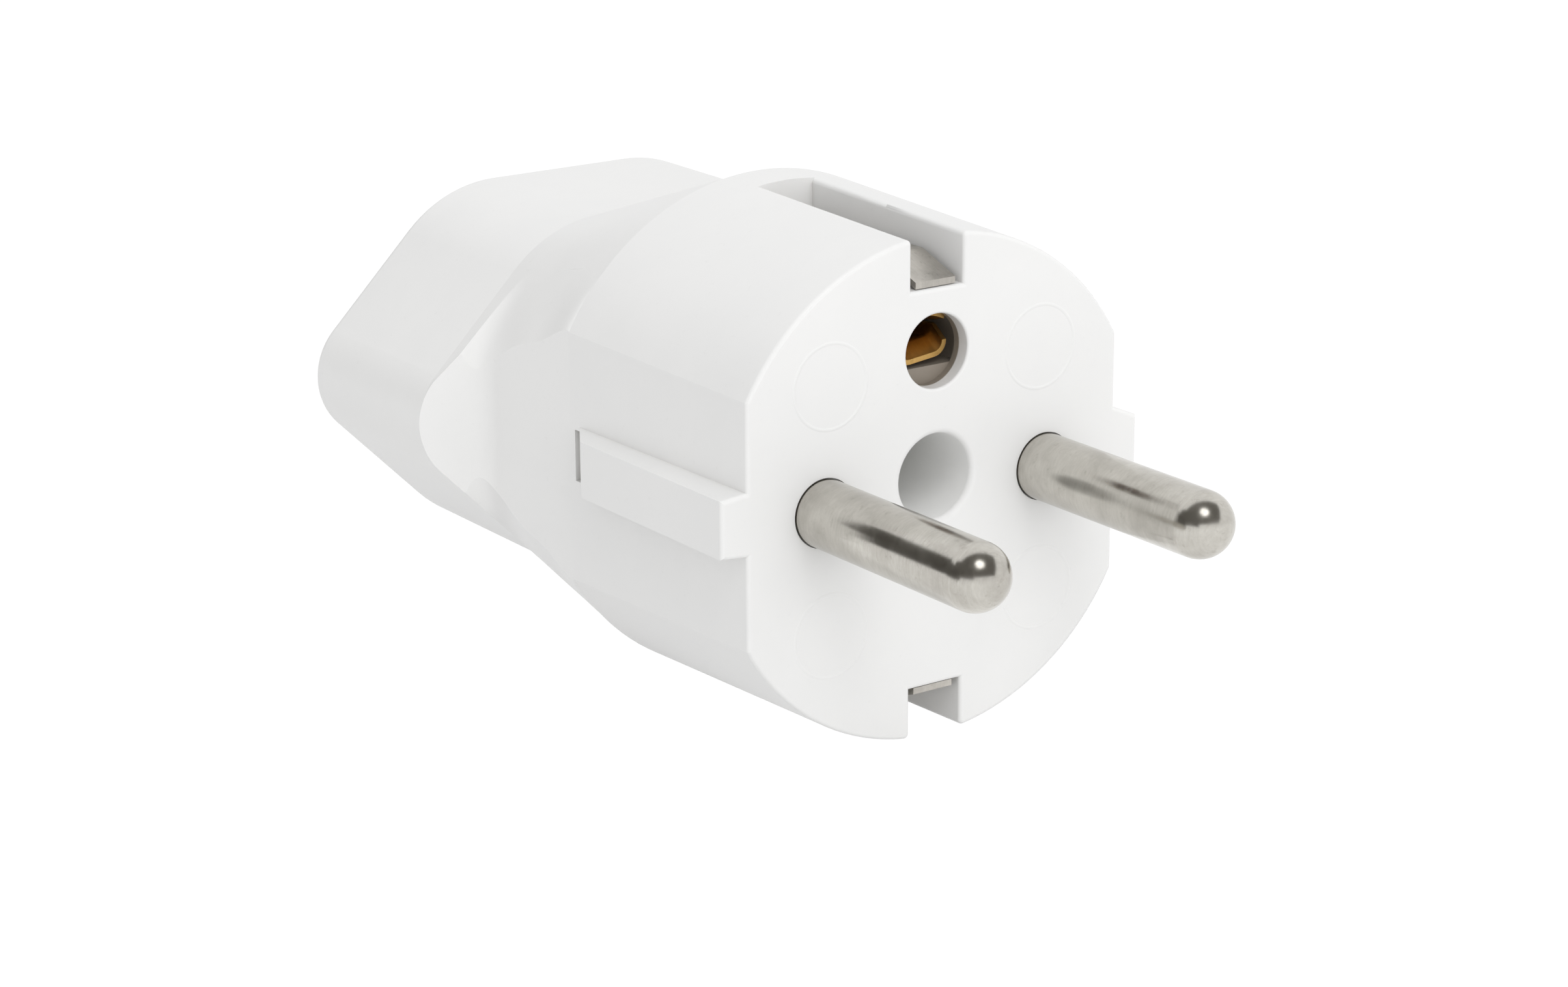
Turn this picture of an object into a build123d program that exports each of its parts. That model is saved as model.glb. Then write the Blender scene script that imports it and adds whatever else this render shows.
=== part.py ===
"""Travel adapter: a round two-pin earthed plug at the front, a three-hole socket at the back.

The face with the pins is the plane y = 0. The pins point along -Y and the body runs to +Y.
+Z is up and +X is to the right for someone who looks at the pins. The origin lies on the
face, midway between the two pins. All lengths are in millimetres.
"""

from build123d import *
from math import sqrt
import os

# Round plug body with a flat on each side
flat_distance = 15.85
flat_draft = 0.5
flat_depth = 2.9
plug_taper = 0.65
plug_length = 21.4
plug_edge_round = 0.3

# Side ribs of the plug
rib_end_gap = 3.8
rib_ramp_length = 2.7
rib_height = 2.1
rib_rise = 0.25
left_rib_root_half = 2.25
left_rib_tip_half = 2.05
right_rib_root_half = 3.0
right_rib_tip_half = 2.1

# Latches that hold the housing to the plug body
latch_window_gap = 0.5
latch_window_length = 0.75
latch_window_depth = 2.5
latch_half_width = 1.75
latch_thickness = 0.9
latch_hook = 0.9
latch_hook_length = 0.4
latch_clearance = 0.15
latch_root_margin = 0.1

# Plug pins, and the hole for the earth pin of a wall socket
pin_spacing = 19.0
pin_radius = 2.4
pin_length = 19.0
pin_seat_clearance = 0.08
pin_seat_depth = 0.4
pin_shank_radius = 2.2
pin_collar_radius = 3.3
pin_collar_length = 1.5
pin_spigot_radius = 1.6
pin_spigot_length = 4.0
earth_hole_height = 9.84
earth_hole_radius = 2.64
earth_hole_round = 0.2
earth_entry_length = 1.6
earth_chamber_radius = 3.2

# Screw in the middle of the face
screw_height = 0.86
screw_recess_radius = 3.08
screw_recess_depth = 11.0
screw_recess_round = 0.45
screw_radius = 1.5
screw_length = 20.0
screw_head_radius = 2.75
screw_head_height = 2.0
screw_head_round = 0.6
screw_drive_width = 0.9
screw_drive_length = 3.4
screw_drive_depth = 1.0
screw_boss_radius = 2.5

# Slots for the earth clips, at the top and the bottom
slot_half_width = 2.22
slot_floor = 14.3
slot_back_wall = 3.5
slot_edge_round = 0.35

# Earth strap, one bent strip with a sprung clip at each end
strap_thickness = 0.5
strap_half_width = 1.68
strap_bend = 1.0
strap_corner = 0.3
strap_eye_margin = 1.15
strap_screw_hole_radius = 1.8
clip_tip_height = 14.6
clip_tip_setback = 0.35
clip_crest_height = 16.95
clip_crest_setback = 6.3
clip_root_height = 15.6
clip_root_gap = 1.1

# Housing behind the plug: round at the front, flaring into a flat hexagon with 45 degree sides
body_length = 49.5
rim_step = 0.05
hexagon_half_height = 13.65
hexagon_side_distance = 17.07
hexagon_corner_round = 10.8
hexagon_point_round = 5.15
hexagon_rise = 0.48
flare_length = 11.8
flare_section_shares = [0, 0.2, 0.4, 0.6, 0.8, 0.9, 1]
round_share = 0.98
point_turn_start = 0.80
point_turn_end = 0.97
rear_edge_round = 0.8

# Finger scoops on both sides of the housing
scoop_heel_distance = 17.45
scoop_heel = 31.35
scoop_heel_round = 2.2
scoop_edge_distance = 22.0
scoop_edge = 33.3

# Socket at the back
recess_depth = 12.0
recess_half_height = 9.0
recess_side_distance = 13.3
recess_point_round = 1.5
recess_corner_round = 2.0
recess_lip = 0.6
socket_earth_drop = 5.0
entry_radius = 2.2
entry_length = 2.0
entry_lead_in = 0.5
socket_floor_thickness = 5.0
chamber_half_height = 9.0
chamber_round = 2.5

# Contact sleeves for the 4 mm pins that enter the socket
sleeve_radius = 2.75
sleeve_bore_radius = 2.0
socket_pin_length = 19.0
sleeve_bottom_gap = 0.4
sleeve_shank_length = 5.6
sleeve_slit_width = 0.6
sleeve_slit_length = 11.0
ring_thickness = 0.4
ring_width = 3.0
ring_setback = 4.0
ring_gap = 1.2
ring_clearance = 0.3

# Sprung contact in the earth hole
leaf_thickness = 0.35
leaf_setback = 1.75
leaf_length = 14.0
upper_leaf_radius = 2.6
upper_leaf_half_width = 2.25
lower_leaf_drop = 1.2
lower_leaf_half_width = 2.1
lower_leaf_side = 1.6
lower_leaf_round = 0.8
leaf_tail_half_width = 1.2

# Clearance between pieces that slide together, and the margin for finding a size again
fit_clearance = 0.05
find_margin = 0.01

# Places that follow from the sizes above
plug_rim_radius = flat_distance + flat_depth
plug_face_radius = plug_rim_radius - plug_taper
flat_rim_distance = flat_distance + flat_draft
rib_length = plug_length - rib_end_gap
rib_root_length = rib_length + rib_ramp_length
rib_root_distance = flat_distance + flat_draft * rib_root_length / plug_length
rib_reach = flat_distance + rib_height
slot_length = plug_length - slot_back_wall
flare_end = plug_length + flare_length
flare_start_radius = plug_rim_radius - rim_step
socket_face = body_length - recess_depth
entry_start = socket_face - entry_length
chamber_end = socket_face - socket_floor_thickness
sleeve_bore_start = socket_face - socket_pin_length - sleeve_bottom_gap
sleeve_start = sleeve_bore_start - sleeve_shank_length
pin_collar_start = sleeve_start - pin_collar_length
spigot_end = sleeve_start + pin_spigot_length
strap_front = plug_length - strap_thickness
clip_root_setback = slot_length - clip_root_gap
screw_end = screw_recess_depth + screw_length
latch_half_room = latch_half_width + latch_clearance
latch_window_end = plug_length - latch_window_gap
latch_window_start = latch_window_end - latch_window_length
latch_length = latch_window_gap + latch_clearance + latch_hook_length
window_inner = flat_rim_distance - latch_window_depth
latch_inner = window_inner + latch_clearance
chamber_half_width = latch_inner - latch_root_margin
lower_leaf_floor = earth_hole_height - lower_leaf_drop
lower_leaf_bottom = lower_leaf_floor - leaf_thickness / 2
earth_shelf_height = lower_leaf_bottom - fit_clearance
socket_pin_spacing = pin_spacing
earth_place = (0, -socket_earth_drop)
eye_half_width = sleeve_radius + strap_eye_margin
eye_top = screw_height + strap_screw_hole_radius + strap_eye_margin
eye_bottom = -socket_earth_drop - eye_half_width
eye_place = (0, (eye_top + eye_bottom) / 2)
socket_places = [(-socket_pin_spacing / 2, 0), (socket_pin_spacing / 2, 0), earth_place]
pin_places = {"line": (-pin_spacing / 2, 0), "neutral": (pin_spacing / 2, 0)}
sides = (-1, 1)


def across(y):
    """The plane square to the pins at depth y. Its x runs along +X and its y along +Z."""
    return Plane.XZ.offset(-y)


def hexagon(y, rise, half_height, side_distance, point_round, corner_round):
    """A flat hexagon with 45 degree sides and round corners, at depth y and raised by rise."""
    point = sqrt(2) * side_distance
    corner = point - half_height
    with BuildSketch(across(y)) as section:
        with BuildLine():
            Polyline(
                (point, rise),
                (corner, rise + half_height),
                (-corner, rise + half_height),
                (-point, rise),
                (-corner, rise - half_height),
                (corner, rise - half_height),
                close=True,
            )
        make_face()
        points = section.vertices().filter_by(lambda v: abs(v.Y - rise) < find_margin)
        fillet(points, point_round)
        corners = section.vertices().filter_by(lambda v: abs(v.Y - rise) > half_height - find_margin)
        fillet(corners, corner_round)
    return section.sketch


def flare_section(share):
    """The housing's section at a share of the way from the plug's rim to the hexagon.

    The sides stay as round as they can be and turn into the points just before the hexagon.
    """

    def mixed(rim, end):
        return rim + (end - rim) * share

    half_height = mixed(flare_start_radius, hexagon_half_height)
    corner_round = mixed(flare_start_radius * round_share, hexagon_corner_round)
    roundest = sqrt(2) * half_height - (sqrt(2) - 1) * corner_round
    last_roundest = sqrt(2) * hexagon_half_height - (sqrt(2) - 1) * hexagon_corner_round
    last_share = hexagon_point_round / last_roundest
    turn = min(max((share - point_turn_start) / (point_turn_end - point_turn_start), 0), 1)
    point_share = round_share + (last_share - round_share) * turn**2 * (3 - 2 * turn)
    return hexagon(
        mixed(plug_length, flare_end),
        mixed(0, hexagon_rise),
        half_height,
        mixed(flare_start_radius, hexagon_side_distance),
        roundest * point_share,
        corner_round,
    )


# Front plug body: a slightly tapered round body with two flats and a rib on each flat
with BuildPart() as plug_body:
    with BuildSketch(Plane.XY):
        with BuildLine():
            Polyline(
                (0, 0),
                (plug_face_radius, 0),
                (plug_rim_radius, plug_length),
                (0, plug_length),
                close=True,
            )
        make_face()
    revolve(axis=Axis.Y)
    with BuildSketch(Plane.XY):
        for side in sides:
            with BuildLine():
                Polyline(
                    (side * flat_distance, 0),
                    (side * flat_rim_distance, plug_length),
                    (side * 2 * plug_rim_radius, plug_length),
                    (side * 2 * plug_rim_radius, 0),
                    close=True,
                )
            make_face()
    extrude(amount=plug_rim_radius, both=True, mode=Mode.SUBTRACT)
    with BuildSketch(across(0)):
        for side, root_half, tip_half in (
            (-1, left_rib_root_half, left_rib_tip_half),
            (1, right_rib_root_half, right_rib_tip_half),
        ):
            with BuildLine():
                Polyline(
                    (0, rib_rise + root_half),
                    (side * flat_distance, rib_rise + root_half),
                    (side * rib_reach, rib_rise + tip_half),
                    (side * rib_reach, rib_rise - tip_half),
                    (side * flat_distance, rib_rise - root_half),
                    (0, rib_rise - root_half),
                    close=True,
                )
            make_face()
    extrude(amount=-rib_root_length)
    with BuildSketch(Plane.XY):
        for side in sides:
            with BuildLine():
                Polyline(
                    (side * rib_root_distance, rib_root_length),
                    (side * rib_reach, rib_length),
                    (side * 2 * rib_reach, rib_length),
                    (side * 2 * rib_reach, rib_root_length),
                    close=True,
                )
            make_face()
    extrude(amount=plug_rim_radius, both=True, mode=Mode.SUBTRACT)

    # Slots with round lips, then the round front edge
    with BuildSketch(across(0)):
        for side in sides:
            with Locations((0, side * (slot_floor + plug_rim_radius / 2))):
                Rectangle(2 * slot_half_width, plug_rim_radius)
    extrude(amount=-slot_length, mode=Mode.SUBTRACT)
    slot_edges = plug_body.edges().filter_by(
        lambda e: abs(abs(e.center().X) - slot_half_width) < slot_edge_round / 5
        and abs(e.center().Z) > (slot_floor + plug_face_radius) / 2
        and e.length > slot_length / 2
    )
    fillet(slot_edges, radius=slot_edge_round)
    fillet(plug_body.faces().sort_by(Axis.Y)[0].edges(), radius=plug_edge_round)

    # Channels in the back walls of the slots for the strap
    with BuildSketch(across(slot_length)):
        for side in sides:
            with Locations((0, side * clip_root_height)):
                Rectangle(
                    2 * (strap_half_width + fit_clearance),
                    strap_thickness + 2 * fit_clearance,
                )
    extrude(amount=-(plug_length - slot_length), mode=Mode.SUBTRACT)

    # Bed of the strap in the back face
    with BuildSketch(across(plug_length)):
        Rectangle(
            2 * (strap_half_width + fit_clearance),
            2 * clip_root_height + strap_thickness + 2 * fit_clearance,
        )
        with Locations(eye_place):
            Rectangle(
                2 * (eye_half_width + fit_clearance),
                eye_top - eye_bottom + 2 * fit_clearance,
            )
    extrude(amount=strap_thickness, mode=Mode.SUBTRACT)

    # Holes of the pins, with the pockets for their collars and for the sleeves
    with BuildSketch(across(0)):
        with Locations(*pin_places.values()):
            Circle(pin_radius + pin_seat_clearance)
    extrude(amount=-pin_seat_depth, mode=Mode.SUBTRACT)
    with BuildSketch(across(0)):
        with Locations(*pin_places.values()):
            Circle(pin_shank_radius)
    extrude(amount=-plug_length, mode=Mode.SUBTRACT)
    with BuildSketch(across(pin_collar_start)):
        with Locations(*pin_places.values()):
            Circle(pin_collar_radius + fit_clearance)
    extrude(amount=-(plug_length - pin_collar_start), mode=Mode.SUBTRACT)
    with BuildSketch(across(sleeve_start)):
        with Locations(earth_place):
            Circle(sleeve_radius + fit_clearance)
    extrude(amount=-(plug_length - sleeve_start), mode=Mode.SUBTRACT)

    # Earth hole and screw recess
    with BuildSketch(across(0)):
        with Locations((0, earth_hole_height)):
            Circle(earth_hole_radius)
    extrude(amount=-earth_entry_length, mode=Mode.SUBTRACT)
    with BuildSketch(across(earth_entry_length)):
        with Locations((0, earth_hole_height)):
            Circle(earth_chamber_radius)
        with Locations((0, earth_shelf_height + earth_chamber_radius)):
            Rectangle(2 * earth_chamber_radius, 2 * earth_chamber_radius, mode=Mode.INTERSECT)
    extrude(amount=-(strap_front - earth_entry_length), mode=Mode.SUBTRACT)
    with BuildSketch(across(0)):
        with Locations((0, screw_height)):
            Circle(screw_recess_radius)
    extrude(amount=-screw_recess_depth, mode=Mode.SUBTRACT)
    with BuildSketch(across(0)):
        with Locations((0, screw_height)):
            Circle(screw_radius + fit_clearance)
    extrude(amount=-plug_length, mode=Mode.SUBTRACT)
    face_rims = plug_body.faces().sort_by(Axis.Y)[0].edges().filter_by(GeomType.CIRCLE)
    recess_rim = face_rims.filter_by(lambda e: abs(e.radius - screw_recess_radius) < find_margin)
    fillet(recess_rim, radius=screw_recess_round)
    face_rims = plug_body.faces().sort_by(Axis.Y)[0].edges().filter_by(GeomType.CIRCLE)
    earth_rim = face_rims.filter_by(lambda e: abs(e.radius - earth_hole_radius) < find_margin)
    fillet(earth_rim, radius=earth_hole_round)

    # Latch windows behind the ribs
    with BuildSketch(across(latch_window_start)):
        for side in sides:
            with Locations((side * (window_inner + latch_window_depth), rib_rise)):
                Rectangle(2 * latch_window_depth, 2 * latch_half_room)
    extrude(amount=-(latch_window_end - latch_window_start), mode=Mode.SUBTRACT)
    passage = latch_thickness + 2 * latch_clearance
    with BuildSketch(across(latch_window_end)):
        for side in sides:
            with Locations((side * (window_inner + passage / 2), rib_rise)):
                Rectangle(passage, 2 * latch_half_room)
    extrude(amount=-(plug_length - latch_window_end), mode=Mode.SUBTRACT)
plug_body.part.label = "plug_body"


# Housing behind the plug, with the finger scoops and the socket
with BuildPart() as rear_housing:
    loft(sections=[flare_section(share) for share in flare_section_shares])
    rear_outline = hexagon(
        flare_end,
        hexagon_rise,
        hexagon_half_height,
        hexagon_side_distance,
        hexagon_point_round,
        hexagon_corner_round,
    )
    extrude(rear_outline, amount=-(body_length - flare_end))
    fillet(rear_housing.faces().sort_by(Axis.Y)[-1].edges(), radius=rear_edge_round)

    # Finger scoops, cut straight down beside the neck
    scoop_run = (scoop_edge - scoop_heel) / (scoop_edge_distance - scoop_heel_distance)
    scoop_out = 2 * scoop_edge_distance
    with BuildSketch(Plane.XY) as scoops:
        for side in sides:
            with BuildLine():
                Polyline(
                    (side * flat_rim_distance, plug_length),
                    (side * scoop_heel_distance, scoop_heel),
                    (side * scoop_out, scoop_heel + scoop_run * (scoop_out - scoop_heel_distance)),
                    (side * scoop_out, plug_length),
                    close=True,
                )
            make_face()
        heels = scoops.vertices().filter_by(lambda v: abs(v.Y - scoop_heel) < find_margin)
        fillet(heels, radius=scoop_heel_round)
    extrude(amount=plug_rim_radius + 1, both=True, mode=Mode.SUBTRACT)

    # Recess of the socket
    recess_outline = hexagon(
        body_length,
        0,
        recess_half_height,
        recess_side_distance,
        recess_point_round,
        recess_corner_round,
    )
    extrude(recess_outline, amount=recess_depth, mode=Mode.SUBTRACT)
    back_face = rear_housing.faces().filter_by(Axis.Y).sort_by(Axis.Y)[-1]
    chamfer(back_face.inner_wires().edges(), length=recess_lip)

    # Chamber for the contacts, with the screw boss
    with BuildSketch(across(plug_length)):
        RectangleRounded(2 * chamber_half_width, 2 * chamber_half_height, chamber_round)
        with Locations(*socket_places):
            Circle(sleeve_radius + ring_thickness + ring_clearance)
    extrude(amount=-(chamber_end - plug_length), mode=Mode.SUBTRACT)
    with BuildSketch(across(plug_length)):
        with Locations((0, screw_height)):
            Circle(screw_boss_radius)
    extrude(amount=-(chamber_end - plug_length))
    with BuildSketch(across(plug_length)):
        with Locations((0, screw_height)):
            Circle(screw_radius + fit_clearance)
    extrude(amount=-(screw_end - plug_length), mode=Mode.SUBTRACT)

    # Seats of the sleeves and the holes that the pins of another plug go through
    with BuildSketch(across(chamber_end)):
        with Locations(*socket_places):
            Circle(sleeve_radius + fit_clearance)
    extrude(amount=-(entry_start - chamber_end), mode=Mode.SUBTRACT)
    with BuildSketch(across(entry_start)):
        with Locations(*socket_places):
            Circle(entry_radius)
    extrude(amount=-entry_length, mode=Mode.SUBTRACT)
    socket_floor = rear_housing.faces().filter_by(Axis.Y).filter_by(
        lambda f: abs(f.center().Y - socket_face) < find_margin
    )
    chamfer(socket_floor.edges().filter_by(GeomType.CIRCLE).filter_by(
        lambda e: abs(e.radius - entry_radius) < find_margin
    ), length=entry_lead_in)

    # Latches that reach into the windows of the plug body
    with BuildSketch(across(plug_length)):
        for side in sides:
            with Locations((side * (latch_inner + latch_thickness / 2), rib_rise)):
                Rectangle(latch_thickness, 2 * latch_half_width)
    extrude(amount=latch_length)
    with BuildSketch(across(latch_window_end - latch_clearance)):
        for side in sides:
            with Locations((side * (latch_inner + (latch_thickness + latch_hook) / 2), rib_rise)):
                Rectangle(latch_thickness + latch_hook, 2 * latch_half_width)
    extrude(amount=latch_hook_length)
rear_housing.part.label = "rear_housing"


# Plug pins, turned with a round end, a collar behind the face and a spigot for the sleeve
pins = {}
for name, place in pin_places.items():
    with BuildPart() as pin:
        with BuildSketch(Plane((place[0], 0, 0))):
            with BuildLine():
                Polyline(
                    (0, -pin_length),
                    (0, spigot_end),
                    (pin_spigot_radius, spigot_end),
                    (pin_spigot_radius, sleeve_start),
                    (pin_collar_radius, sleeve_start),
                    (pin_collar_radius, pin_collar_start),
                    (pin_shank_radius, pin_collar_start),
                    (pin_shank_radius, pin_seat_clearance),
                    (pin_radius, pin_seat_clearance),
                    (pin_radius, pin_radius - pin_length),
                )
                RadiusArc((pin_radius, pin_radius - pin_length), (0, -pin_length), pin_radius)
            make_face()
        revolve(axis=Axis((place[0], 0, 0), (0, 1, 0)))
    pin.part.label = name + "_pin"
    pins[name] = pin


def slit_sleeve(place, spigot_depth):
    """A turned contact sleeve with four fingers at its open end."""
    with BuildPart() as sleeve:
        with BuildSketch(across(sleeve_start)):
            with Locations(place):
                Circle(sleeve_radius)
        extrude(amount=-(entry_start - sleeve_start))
        with BuildSketch(across(sleeve_bore_start)):
            with Locations(place):
                Circle(sleeve_bore_radius)
        extrude(amount=-(entry_start - sleeve_bore_start), mode=Mode.SUBTRACT)
        with BuildSketch(across(entry_start)):
            with Locations(place):
                Rectangle(sleeve_slit_width, 3 * sleeve_radius)
                Rectangle(3 * sleeve_radius, sleeve_slit_width)
        extrude(amount=sleeve_slit_length, mode=Mode.SUBTRACT)
        if spigot_depth:
            with BuildSketch(across(sleeve_start)):
                with Locations(place):
                    Circle(pin_spigot_radius)
            extrude(amount=-spigot_depth, mode=Mode.SUBTRACT)
    return sleeve


def spring_ring(place):
    """An open ring that squeezes the fingers of a sleeve."""
    with BuildPart() as ring:
        with BuildSketch(across(entry_start - ring_setback)):
            with Locations(place):
                Circle(sleeve_radius + ring_thickness)
                Circle(sleeve_radius, mode=Mode.SUBTRACT)
            with Locations((place[0], place[1] - sleeve_radius)):
                Rectangle(ring_gap, sleeve_radius, mode=Mode.SUBTRACT)
        extrude(amount=ring_width)
    return ring


sleeves = {
    "line": slit_sleeve(socket_places[0], pin_spigot_length),
    "neutral": slit_sleeve(socket_places[1], pin_spigot_length),
    "earth": slit_sleeve(earth_place, 0),
}
rings = {
    "line": spring_ring(socket_places[0]),
    "neutral": spring_ring(socket_places[1]),
    "earth": spring_ring(earth_place),
}
for name in sleeves:
    sleeves[name].part.label = name + "_sleeve"
    rings[name].part.label = name + "_spring_ring"


# Earth strap: it runs down behind the plug body and forward through both slots
with BuildPart() as earth_strap:
    web_place = plug_length - strap_thickness / 2
    with BuildSketch(Plane.YZ):
        with BuildLine():
            FilletPolyline(
                (clip_tip_setback, clip_tip_height),
                (clip_crest_setback, clip_crest_height),
                (clip_root_setback, clip_root_height),
                (web_place, clip_root_height),
                (web_place, -clip_root_height),
                (clip_root_setback, -clip_root_height),
                (clip_crest_setback, -clip_crest_height),
                (clip_tip_setback, -clip_tip_height),
                radius=[strap_bend, strap_bend, strap_corner, strap_corner, strap_bend, strap_bend],
            )
        trace(line_width=strap_thickness)
    extrude(amount=strap_half_width, both=True)
    with BuildSketch(across(strap_front)):
        with Locations(eye_place):
            Rectangle(2 * eye_half_width, eye_top - eye_bottom)
    extrude(amount=-strap_thickness)
    with BuildSketch(across(strap_front)):
        with Locations(earth_place):
            Circle(sleeve_radius)
        with Locations((0, screw_height)):
            Circle(strap_screw_hole_radius)
    extrude(amount=-strap_thickness, mode=Mode.SUBTRACT)
earth_strap.part.label = "earth_strap"


# Earth contact: two sprung leaves on a round back plate, with a tail to the strap
with BuildPart() as earth_contact:
    with BuildSketch(across(leaf_setback)):
        with Locations((0, earth_hole_height)):
            Circle(upper_leaf_radius)
            Circle(upper_leaf_radius - leaf_thickness, mode=Mode.SUBTRACT)
        with Locations((0, earth_hole_height + upper_leaf_radius / 2)):
            Rectangle(2 * upper_leaf_half_width, upper_leaf_radius, mode=Mode.INTERSECT)
    extrude(amount=-leaf_length)
    with BuildSketch(across(leaf_setback)):
        with BuildLine():
            FilletPolyline(
                (-lower_leaf_half_width, lower_leaf_floor + lower_leaf_side),
                (-lower_leaf_half_width, lower_leaf_floor),
                (lower_leaf_half_width, lower_leaf_floor),
                (lower_leaf_half_width, lower_leaf_floor + lower_leaf_side),
                radius=lower_leaf_round,
            )
        trace(line_width=leaf_thickness)
    extrude(amount=-leaf_length)
    with BuildSketch(across(leaf_setback + leaf_length)):
        with Locations((0, earth_hole_height)):
            Circle(upper_leaf_radius)
        with Locations((0, lower_leaf_bottom + upper_leaf_radius)):
            Rectangle(2 * upper_leaf_radius, 2 * upper_leaf_radius, mode=Mode.INTERSECT)
    extrude(amount=-leaf_thickness)
    with BuildSketch(across(leaf_setback + leaf_length)):
        with Locations((0, earth_hole_height)):
            Rectangle(2 * leaf_tail_half_width, leaf_thickness)
    extrude(amount=-(strap_front - leaf_setback - leaf_length))
earth_contact.part.label = "earth_contact"


# Screw that holds the housing to the plug body
with BuildPart() as body_screw:
    with BuildSketch(across(screw_recess_depth)):
        with Locations((0, screw_height)):
            Circle(screw_head_radius)
    extrude(amount=screw_head_height)
    fillet(body_screw.faces().sort_by(Axis.Y)[0].edges(), radius=screw_head_round)
    with BuildSketch(across(screw_recess_depth)):
        with Locations((0, screw_height)):
            Circle(screw_radius)
    extrude(amount=-screw_length)
    with BuildSketch(across(screw_recess_depth - screw_head_height)):
        with Locations((0, screw_height)):
            Rectangle(screw_drive_width, screw_drive_length)
            Rectangle(screw_drive_length, screw_drive_width)
    extrude(amount=-screw_drive_depth, mode=Mode.SUBTRACT)
body_screw.part.label = "body_screw"


pieces = [plug_body, rear_housing, earth_strap, earth_contact, body_screw]
pieces += list(pins.values()) + list(sleeves.values()) + list(rings.values())
os.makedirs("parts", exist_ok=True)
for piece in pieces:
    export_step(piece.part, "parts/" + piece.part.label + ".step")
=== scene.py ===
"""Looks of the travel adapter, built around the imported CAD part."""

import math

import bmesh
import bpy
from mathutils import Matrix, Vector


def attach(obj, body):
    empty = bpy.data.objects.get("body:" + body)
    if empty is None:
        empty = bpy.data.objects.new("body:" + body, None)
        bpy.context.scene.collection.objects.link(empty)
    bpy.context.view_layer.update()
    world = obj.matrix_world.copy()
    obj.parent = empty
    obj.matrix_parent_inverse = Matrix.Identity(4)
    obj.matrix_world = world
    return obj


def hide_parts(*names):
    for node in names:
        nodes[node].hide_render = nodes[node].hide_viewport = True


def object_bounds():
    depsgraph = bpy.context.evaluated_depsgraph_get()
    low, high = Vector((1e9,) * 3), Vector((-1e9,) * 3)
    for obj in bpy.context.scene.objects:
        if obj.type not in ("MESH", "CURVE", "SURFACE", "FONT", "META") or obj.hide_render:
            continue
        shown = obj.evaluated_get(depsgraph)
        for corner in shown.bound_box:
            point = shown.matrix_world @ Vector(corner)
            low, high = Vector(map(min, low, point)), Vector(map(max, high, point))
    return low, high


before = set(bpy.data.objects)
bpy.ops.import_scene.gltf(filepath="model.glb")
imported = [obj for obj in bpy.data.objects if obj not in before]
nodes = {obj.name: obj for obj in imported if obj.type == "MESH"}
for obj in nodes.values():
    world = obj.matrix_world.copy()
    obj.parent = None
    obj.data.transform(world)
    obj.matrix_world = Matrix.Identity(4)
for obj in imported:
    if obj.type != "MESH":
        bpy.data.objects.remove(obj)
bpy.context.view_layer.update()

MM = 0.001

# Sizes shared with the CAD part, in millimetres
SCREW_HEIGHT = 0.86
SCREW_RECESS_DEPTH = 11.0
EARTH_HOLE_HEIGHT = 9.84
EARTH_HOLE_ENTRY = 1.0
LEAF_THICKNESS = 0.35
LEAF_FRONT = 1.75
LEAF_BACK = 15.75
STRAP_FRONT = 20.9


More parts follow.
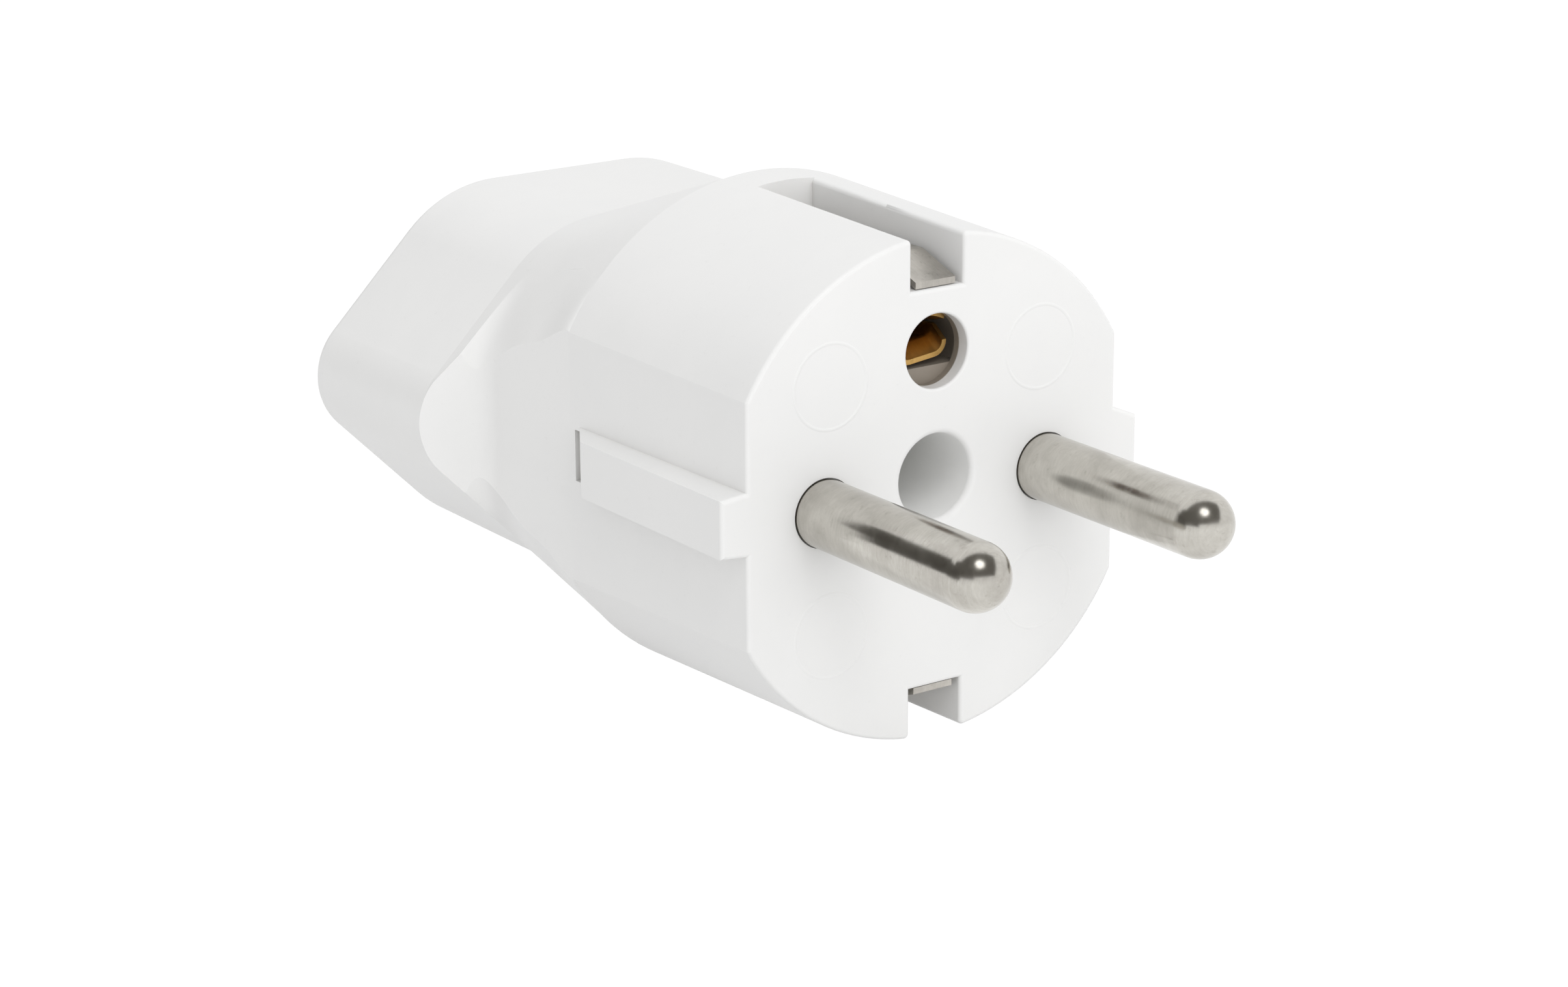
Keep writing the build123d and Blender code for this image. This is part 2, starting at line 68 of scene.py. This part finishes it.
# Node helpers
class Tree:
    """A short way to write the nodes of a material or of the world."""

    def __init__(self, owner, output="ShaderNodeOutputMaterial"):
        owner.use_nodes = True
        self.tree = owner.node_tree
        self.tree.nodes.clear()
        self.output = self.add(output)

    def add(self, kind, **settings):
        node = self.tree.nodes.new(kind)
        for key, value in settings.items():
            setattr(node, key, value)
        return node

    def link(self, source, target):
        self.tree.links.new(source, target)

    def put(self, socket, value):
        if isinstance(value, bpy.types.NodeSocket):
            self.link(value, socket)
        else:
            socket.default_value = value

    def place(self, scale=(1, 1, 1)):
        """Object coordinates in millimetres."""
        coords = self.add("ShaderNodeTexCoord")
        mapping = self.add("ShaderNodeMapping")
        mapping.inputs["Scale"].default_value = [1000 * s for s in scale]
        self.link(coords.outputs["Object"], mapping.inputs["Vector"])
        return mapping.outputs["Vector"]

    def noise(self, vector, scale, detail=3.0, roughness=0.5, distortion=0.0):
        node = self.add("ShaderNodeTexNoise")
        self.link(vector, node.inputs["Vector"])
        node.inputs["Scale"].default_value = scale
        node.inputs["Detail"].default_value = detail
        node.inputs["Roughness"].default_value = roughness
        node.inputs["Distortion"].default_value = distortion
        return node.outputs["Fac"]

    def spread(self, value, low, high, to_low=0.0, to_high=1.0):
        node = self.add("ShaderNodeMapRange")
        self.put(node.inputs["Value"], value)
        node.inputs["From Min"].default_value = low
        node.inputs["From Max"].default_value = high
        node.inputs["To Min"].default_value = to_low
        node.inputs["To Max"].default_value = to_high
        return node.outputs["Result"]

    def math(self, operation, a, b=0.0):
        node = self.add("ShaderNodeMath", operation=operation)
        self.put(node.inputs[0], a)
        self.put(node.inputs[1], b)
        return node.outputs[0]

    def mix(self, share, a, b):
        node = self.add("ShaderNodeMix", data_type="RGBA")
        self.put(node.inputs["Factor"], share)
        self.put(node.inputs["A"], a)
        self.put(node.inputs["B"], b)
        return node.outputs["Result"]

    def bump(self, height, strength, distance_mm, normal=None):
        node = self.add("ShaderNodeBump")
        self.put(node.inputs["Height"], height)
        node.inputs["Strength"].default_value = strength
        node.inputs["Distance"].default_value = distance_mm * MM
        if normal:
            self.link(normal, node.inputs["Normal"])
        return node.outputs["Normal"]

    def shader(self, color, roughness, normal=None, metallic=0.0, **sockets):
        node = self.add("ShaderNodeBsdfPrincipled")
        self.put(node.inputs["Base Color"], color)
        self.put(node.inputs["Roughness"], roughness)
        node.inputs["Metallic"].default_value = metallic
        for name, value in sockets.items():
            node.inputs[name.replace("_", " ")].default_value = value
        if normal:
            self.link(normal, node.inputs["Normal"])
        self.link(node.outputs["BSDF"], self.output.inputs["Surface"])

    def glow(self, kind, strength):
        node = self.add(kind)
        node.inputs["Color"].default_value = rgb(1, 1, 1)
        node.inputs["Strength"].default_value = strength
        return node

    def seen_directly(self):
        """1 for rays from the camera, a reflection or a clear body, 0 for scattered light."""
        paths = self.add("ShaderNodeLightPath")
        seen = self.math("MAXIMUM", paths.outputs["Is Camera Ray"], paths.outputs["Is Glossy Ray"])
        return self.math("MAXIMUM", seen, paths.outputs["Is Transmission Ray"])

    def blend(self, share, first, second):
        mixed = self.add("ShaderNodeMixShader")
        self.put(mixed.inputs["Fac"], share)
        self.link(first.outputs[0], mixed.inputs[1])
        self.link(second.outputs[0], mixed.inputs[2])
        self.link(mixed.outputs[0], self.output.inputs["Surface"])


def rgb(r, g, b):
    return (r, g, b, 1.0)


# Materials
# Fades and steps, in millimetres, of the painted shade in the earth hole and the painted light in the
# screw recess
CHAMBER_SHADE_FADE = (3.4, 3.5)
CHAMBER_SHADE_STEP = 0.1
RECESS_LIGHT_FADE = (3.15, 3.5)
RECESS_LIGHT_START = (0.1, 0.6)
RECESS_LIGHT_STEP = 0.5


def bore_mask(t, place, height, radius_fade, front_fade, back_fade):
    """1 in a round bore along Y at a height above the pins, with fades as (start, end)."""
    parts = t.add("ShaderNodeSeparateXYZ")
    t.link(place, parts.inputs[0])
    beside = t.math("POWER", parts.outputs["X"], 2.0)
    above = t.math("POWER", t.math("SUBTRACT", parts.outputs["Z"], height), 2.0)
    off_axis = t.math("SQRT", t.math("ADD", beside, above))
    behind_front = t.spread(parts.outputs["Y"], *front_fade)
    before_back = t.spread(parts.outputs["Y"], *back_fade, 1.0, 0.0)
    depth = t.math("MULTIPLY", behind_front, before_back)
    return t.math("MULTIPLY", t.spread(off_axis, *radius_fade, 1.0, 0.0), depth)


def white_plastic():
    """Satin moulded plastic: faint clouds of tone, fine grain, a few scuffs, darker in the crevices,
    painted shade behind the earth hole and painted light on the screw recess wall.
    """
    material = bpy.data.materials.new("housing_plastic_look")
    t = Tree(material)
    p = t.place()
    clouds = t.noise(p, 0.09, 4.0, 0.55)
    specks = t.noise(p, 2.2, 2.0, 0.6)
    tone = t.mix(t.spread(clouds, 0.3, 0.7), rgb(0.832, 0.832, 0.826), rgb(0.862, 0.860, 0.852))
    tone = t.mix(t.spread(specks, 0.66, 0.80, 0.0, 0.25), tone, rgb(0.74, 0.735, 0.72))
    # Colour darker in crevices, where the ambient occlusion within 0.9 mm is low
    crevice = t.add("ShaderNodeAmbientOcclusion", samples=8)
    crevice.inputs["Distance"].default_value = 0.9 * MM
    crevice_darkening = t.spread(crevice.outputs["AO"], 0.25, 0.75, 0.35, 0.0)
    tone = t.mix(crevice_darkening, tone, rgb(0.52, 0.50, 0.46))

    # Painted shade behind the earth hole, and painted light that makes the wall of the screw recess pale
    chamber_painted_shade = bore_mask(
        t, p, EARTH_HOLE_HEIGHT, CHAMBER_SHADE_FADE,
        (EARTH_HOLE_ENTRY, EARTH_HOLE_ENTRY + CHAMBER_SHADE_STEP),
        (STRAP_FRONT - CHAMBER_SHADE_STEP, STRAP_FRONT),
    )
    tone = t.mix(chamber_painted_shade, tone, rgb(0.27, 0.235, 0.195))
    # Painted light: the wall of the screw recess is made paler than the plastic around it
    recess_painted_light = bore_mask(
        t, p, SCREW_HEIGHT, RECESS_LIGHT_FADE, RECESS_LIGHT_START,
        (SCREW_RECESS_DEPTH, SCREW_RECESS_DEPTH + RECESS_LIGHT_STEP),
    )
    tone = t.mix(recess_painted_light, tone, rgb(0.965, 0.965, 0.955))

    # Scuffs, grain and the swell of the surface
    scuff_place = t.place((0.12, 1.3, 1.0))
    scuffs = t.noise(scuff_place, 0.9, 5.0, 0.62, 0.6)
    scuffs = t.spread(scuffs, 0.64, 0.74)
    rough = t.math("ADD", t.spread(clouds, 0.3, 0.7, 0.36, 0.44), t.math("MULTIPLY", scuffs, 0.08))
    grain = t.noise(p, 5.5, 3.0, 0.6)
    swell = t.noise(p, 0.22, 2.0, 0.5)
    normal = t.bump(swell, 0.20, 0.06)
    normal = t.bump(grain, 0.16, 0.010, normal)
    normal = t.bump(scuffs, 0.10, 0.008, normal)
    t.shader(tone, rough, normal, IOR=1.5)
    return material


def plated_metal(name, dark, light, rough_low, rough_high, grain_scale, grain_place, stain, stain_share):
    """Plated metal with drawn or turned marks, cloudy tone and small dull spots."""
    material = bpy.data.materials.new(name)
    t = Tree(material)
    p = t.place()
    clouds = t.noise(p, 0.35, 5.0, 0.6, 0.3)
    lines = t.noise(t.place(grain_place), grain_scale, 4.0, 0.65)
    color = t.mix(t.spread(clouds, 0.3, 0.7), dark, light)
    color = t.mix(t.spread(lines, 0.35, 0.75, 0.0, 0.22), color, stain)
    spots = t.noise(p, 1.6, 4.0, 0.7)
    color = t.mix(t.spread(spots, 0.58, 0.74, 0.0, stain_share), color, stain)
    rough = t.math(
        "ADD",
        t.spread(clouds, 0.3, 0.7, rough_low, rough_high),
        t.spread(lines, 0.3, 0.8, 0.0, 0.08),
    )
    normal = t.bump(lines, 0.22, 0.004)
    normal = t.bump(spots, 0.12, 0.006, normal)
    t.shader(color, rough, normal, metallic=1.0)
    return material


plastic = white_plastic()
pin_nickel = plated_metal(
    "pin_nickel_look", rgb(0.47, 0.45, 0.41), rgb(0.66, 0.64, 0.59), 0.13, 0.22,
    2.4, (0.5, 2.6, 0.5), rgb(0.34, 0.31, 0.27), 0.45,
)
strap_nickel = plated_metal(
    "strap_nickel_look", rgb(0.44, 0.42, 0.385), rgb(0.66, 0.63, 0.58), 0.24, 0.34,
    3.0, (3.0, 0.25, 0.25), rgb(0.30, 0.275, 0.24), 0.60,
)
contact_brass = plated_metal(
    "contact_brass_look", rgb(0.60, 0.36, 0.11), rgb(0.78, 0.50, 0.18), 0.30, 0.42,
    3.0, (2.0, 0.3, 0.6), rgb(0.26, 0.14, 0.05), 0.45,
)
ring_steel = plated_metal(
    "ring_steel_look", rgb(0.36, 0.36, 0.37), rgb(0.46, 0.46, 0.47), 0.30, 0.40,
    3.0, (0.4, 2.4, 0.4), rgb(0.22, 0.22, 0.22), 0.40,
)
screw_steel = plated_metal(
    "screw_steel_look", rgb(0.30, 0.31, 0.24), rgb(0.42, 0.43, 0.35), 0.30, 0.42,
    2.0, (1.0, 1.0, 1.0), rgb(0.16, 0.16, 0.11), 0.45,
)

looks = {
    "plug_body": plastic,
    "rear_housing": plastic,
    "line_pin": pin_nickel,
    "neutral_pin": pin_nickel,
    "earth_strap": strap_nickel,
    "earth_contact": contact_brass,
    "line_sleeve": contact_brass,
    "neutral_sleeve": contact_brass,
    "earth_sleeve": contact_brass,
    "line_spring_ring": ring_steel,
    "neutral_spring_ring": ring_steel,
    "earth_spring_ring": ring_steel,
    "body_screw": screw_steel,
}
for name, material in looks.items():
    mesh = nodes[name].data
    mesh.materials.clear()
    mesh.materials.append(material)


# Mould marks on the face
MARK_PLACES = ((-9.0, 8.8), (9.0, 8.8), (-9.0, -8.9), (9.0, -8.9))
MARK_RADIUS = 3.0
MARK_PROFILE = ((-0.16, -0.01), (-0.08, 0.022), (0.0, 0.030), (0.08, 0.022), (0.16, -0.01))


def swept_ring(bm, x, z, radius, profile, turns=96):
    """A ring on the face, from (distance off the radius, height in front of the face) points."""
    loops = []
    for step in range(turns):
        angle = 2 * math.pi * step / turns
        loops.append([
            bm.verts.new((
                (x + (radius + out) * math.cos(angle)) * MM,
                -height * MM,
                (z + (radius + out) * math.sin(angle)) * MM,
            ))
            for out, height in profile
        ])
    for step in range(turns):
        here, there = loops[step], loops[(step + 1) % turns]
        for i in range(len(profile) - 1):
            bm.faces.new((here[i], there[i], there[i + 1], here[i + 1]))


def add_mesh(name, bm, material):
    bmesh.ops.recalc_face_normals(bm, faces=bm.faces)
    mesh = bpy.data.meshes.new(name)
    bm.to_mesh(mesh)
    bm.free()
    mesh.materials.append(material)
    for polygon in mesh.polygons:
        polygon.use_smooth = True
    piece = bpy.data.objects.new(name, mesh)
    bpy.context.scene.collection.objects.link(piece)
    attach(piece, "root")
    return piece


for index, (x, z) in enumerate(MARK_PLACES):
    bm = bmesh.new()
    swept_ring(bm, x, z, MARK_RADIUS, MARK_PROFILE)
    add_mesh("mould_ring_%d" % (index + 1), bm, plastic)


# Earth clips: the strap with its crests lower and nearer the front, and its tips cut upright
CREST_RANGE = (5.0, 8.0)
CREST_INNER_HEIGHT = 16.0
CREST_SHIFT_BACK = -2.2
CREST_SHIFT_OUT = -1.05
TIP_RANGE = 1.0
TIP_PLACE = 0.30
CLIP_CREASE_DEGREES = 20
strap = bpy.data.objects.new("earth_clips", nodes["earth_strap"].data.copy())
bpy.context.scene.collection.objects.link(strap)
for vertex in strap.data.vertices:
    y = vertex.co.y / MM
    z = vertex.co.z / MM
    outward = math.copysign(1.0, z)
    if CREST_RANGE[0] < y < CREST_RANGE[1] and abs(z) > CREST_INNER_HEIGHT:
        vertex.co.y += CREST_SHIFT_BACK * MM
        vertex.co.z += outward * CREST_SHIFT_OUT * MM
    elif y < TIP_RANGE:
        vertex.co.y = TIP_PLACE * MM
if "custom_normal" in strap.data.attributes:
    strap.data.attributes.remove(strap.data.attributes["custom_normal"])
strap.data.set_sharp_from_angle(angle=math.radians(CLIP_CREASE_DEGREES))
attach(strap, "root")
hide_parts("earth_strap")


# Earth contact: two sprung leaves that slope in towards each other behind the hole
def trough(half_width, side, corner, floor, skew, turns=6):
    """Middle line of a trough section: (x, z) points from left to right round the floor."""
    points = [(-half_width, floor + side)]
    for centre, start in ((corner - half_width, math.pi), (half_width - corner, 1.5 * math.pi)):
        for step in range(turns + 1):
            angle = start + 0.5 * math.pi * step / turns
            points.append((
                centre + corner * math.cos(angle),
                floor + corner + corner * math.sin(angle),
            ))
    points.append((half_width, floor + side))
    return [(x, z + skew * x) for x, z in points]


def arch(half_width, radius, crown, turns=12):
    """Middle line of an arched section: (x, z) points from left to right."""
    reach = math.asin(half_width / radius)
    angles = [-reach + 2 * reach * step / turns for step in range(turns + 1)]
    return [(radius * math.sin(a), crown - radius * (1 - math.cos(a))) for a in angles]


def thick(line, thickness):
    """The closed outline of a strip of some thickness about its middle line."""
    near, far = [], []
    for i, (x, z) in enumerate(line):
        before = line[max(i - 1, 0)]
        after = line[min(i + 1, len(line) - 1)]
        way = Vector((after[0] - before[0], after[1] - before[1])).normalized()
        near.append((x + way.y * thickness / 2, z - way.x * thickness / 2))
        far.append((x - way.y * thickness / 2, z + way.x * thickness / 2))
    return near + far[::-1]


def swept(bm, line, stations, thickness):
    """A sheet strip along the pins' way, from (depth, lift) stations."""
    outline = thick(line, thickness)
    loops = [
        [bm.verts.new((x * MM, y * MM, (z + lift) * MM)) for x, z in outline]
        for y, lift in stations
    ]
    count = len(outline)
    for here, there in zip(loops, loops[1:]):
        for i in range(count):
            bm.faces.new((here[i], here[(i + 1) % count], there[(i + 1) % count], there[i]))
    half = count // 2
    for loop in (loops[0], loops[-1]):
        for i in range(half - 1):
            bm.faces.new((loop[i], loop[i + 1], loop[count - 2 - i], loop[count - 1 - i]))


PLATE_MIDDLE = 10.0
PLATE_HALF_WIDTH = 2.2
PLATE_HEIGHT = 3.1
TAIL_HALF_WIDTH = 1.2
LEAF_CREASE_DEGREES = 35
lower_line = trough(half_width=1.88, side=0.85, corner=0.8, floor=8.98, skew=0.11)
lower_way = [
    (LEAF_FRONT, 0.0), (1.95, 0.12), (2.9, 0.80), (3.2, 0.88), (3.6, 0.86), (6.0, 0.5),
    (LEAF_BACK, 0.5),
]
upper_line = arch(half_width=1.9, radius=4.0, crown=12.15)
upper_way = [(LEAF_FRONT, 0.0), (2.05, -0.06), (3.1, -0.34), (3.5, -0.38), (LEAF_BACK, -0.38)]
plate_line = [(-PLATE_HALF_WIDTH, PLATE_MIDDLE), (PLATE_HALF_WIDTH, PLATE_MIDDLE)]
plate_back = LEAF_BACK + LEAF_THICKNESS
tail_line = [(-TAIL_HALF_WIDTH, EARTH_HOLE_HEIGHT), (TAIL_HALF_WIDTH, EARTH_HOLE_HEIGHT)]
bm = bmesh.new()
swept(bm, lower_line, lower_way, LEAF_THICKNESS)
swept(bm, upper_line, upper_way, LEAF_THICKNESS)
swept(bm, plate_line, [(LEAF_BACK, 0.0), (plate_back, 0.0)], PLATE_HEIGHT)
swept(bm, tail_line, [(plate_back, 0.0), (STRAP_FRONT, 0.0)], LEAF_THICKNESS)
leaves = add_mesh("earth_leaves", bm, contact_brass)
leaves.data.set_sharp_from_angle(angle=math.radians(LEAF_CREASE_DEGREES))
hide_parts("earth_contact")


# Floor and soft light, in metres
FLOOR_SIZE = 6.0
FLOOR_GAP = 0.00002
FLOOR_GLOW = 0.97
FLOOR_GLOW_STRENGTH = 1.06
SOFT_LIGHT = 0.80


def floor_material():
    """Pale floor that keeps a soft shadow and reads as white around the object."""
    material = bpy.data.materials.new("floor_look")
    t = Tree(material)
    p = t.place()
    cloth = t.noise(p, 0.02, 3.0)
    diffuse = t.add("ShaderNodeBsdfDiffuse")
    t.put(diffuse.inputs["Color"], t.mix(cloth, rgb(0.80, 0.80, 0.80), rgb(0.83, 0.83, 0.83)))
    glow = t.glow("ShaderNodeEmission", FLOOR_GLOW_STRENGTH)
    t.blend(t.math("MULTIPLY", t.seen_directly(), FLOOR_GLOW), diffuse, glow)
    return material


floor_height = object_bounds()[0][2] - FLOOR_GAP
bpy.ops.mesh.primitive_plane_add(size=FLOOR_SIZE, location=(0, 0, floor_height))
floor = bpy.context.object
floor.name = "floor"
floor.data.materials.append(floor_material())


def white_world():
    """Soft light for the object, and plain white where the camera or a reflection sees past it."""
    world = bpy.data.worlds.new("studio")
    t = Tree(world, "ShaderNodeOutputWorld")
    soft = t.glow("ShaderNodeBackground", SOFT_LIGHT)
    white = t.glow("ShaderNodeBackground", 1.0)
    t.blend(t.seen_directly(), soft, white)
    return world


bpy.context.scene.world = white_world()


# Lamps and dark cards, in metres
LAMP_DISTANCE = 0.9
LAMP_AIM = Vector((0, 0.015, 0))


def area_light(name, direction, size, strength, shape="SQUARE", mirrored=True):
    """A lamp that looks at the object from a direction, its strength given as irradiance."""
    away = Vector(direction).normalized()
    data = bpy.data.lights.new(name, "AREA")
    data.shape = shape
    data.size = size
    data.energy = strength * LAMP_DISTANCE**2 * math.pi
    lamp = bpy.data.objects.new(name, data)
    bpy.context.scene.collection.objects.link(lamp)
    lamp.location = away * LAMP_DISTANCE + LAMP_AIM
    lamp.rotation_euler = away.to_track_quat("Z", "Y").to_euler()
    lamp.visible_glossy = mirrored


area_light("key", (-0.164, -0.579, 0.799), 0.40, 0.36, "DISK")
area_light("front", (-0.04, -1.0, 0.25), 0.7, 0.95, mirrored=False)
area_light("top", (0.15, 0.1, 1.0), 0.9, 0.22, mirrored=False)


def dark_card(name, centre, width, height, tone):
    """A dark studio card that only reflections show."""
    bpy.ops.mesh.primitive_plane_add(size=1.0, location=centre)
    card = bpy.context.object
    card.name = name
    card.scale = (width, height, 1)
    look = Vector(centre).normalized()
    card.rotation_euler = look.to_track_quat("Z", "Y").to_euler()
    material = bpy.data.materials.new(name + "_look")
    t = Tree(material)
    card_diffuse = t.add("ShaderNodeBsdfDiffuse")
    card_diffuse.inputs["Color"].default_value = rgb(tone, 0.95 * tone, 0.87 * tone)
    t.link(card_diffuse.outputs[0], t.output.inputs["Surface"])
    card.data.materials.append(material)
    card.visible_camera = False
    card.visible_diffuse = False
    card.visible_shadow = False


dark_card("card_back_left", (-0.60, 0.66, 0.20), 2.3, 0.60, 0.13)
dark_card("card_over_key", (-0.24, -0.66, 0.96), 3.0, 1.9, 0.20)
dark_card("card_left", (-1.05, -0.20, 0.62), 1.9, 1.0, 0.17)


# The camera that was fitted to the photograph, with its place in millimetres
PHOTO_WIDTH = 2408.0
FOCAL_PIXELS = 5672.3
SENSOR_WIDTH = 36.0
CAMERA_TURNS = (-34.905, 17.18, -0.282)
CAMERA_RIGHT = -10.544
CAMERA_UP = -0.303
CAMERA_BACK = 255.25
camera_data = bpy.data.cameras.new("camera")
camera_data.sensor_width = SENSOR_WIDTH
camera_data.lens = FOCAL_PIXELS * SENSOR_WIDTH / PHOTO_WIDTH
camera_data.clip_start = 0.01
camera_data.clip_end = 20.0
camera = bpy.data.objects.new("camera", camera_data)
bpy.context.scene.collection.objects.link(camera)
azimuth, elevation, roll = (math.radians(turn) for turn in CAMERA_TURNS)
back = Vector((
    math.sin(azimuth) * math.cos(elevation),
    -math.cos(azimuth) * math.cos(elevation),
    math.sin(elevation),
))
right = Vector((math.cos(azimuth), math.sin(azimuth), 0.0))
up = back.cross(right)
right_rolled = math.cos(roll) * right + math.sin(roll) * up
up_rolled = -math.sin(roll) * right + math.cos(roll) * up
eye = (right_rolled * CAMERA_RIGHT + up_rolled * CAMERA_UP + back * CAMERA_BACK) * MM
camera.matrix_world = Matrix((
    (right_rolled.x, up_rolled.x, back.x, eye.x),
    (right_rolled.y, up_rolled.y, back.y, eye.y),
    (right_rolled.z, up_rolled.z, back.z, eye.z),
    (0, 0, 0, 1),
))
bpy.context.scene.camera = camera
bpy.context.scene.view_settings.view_transform = "Standard"
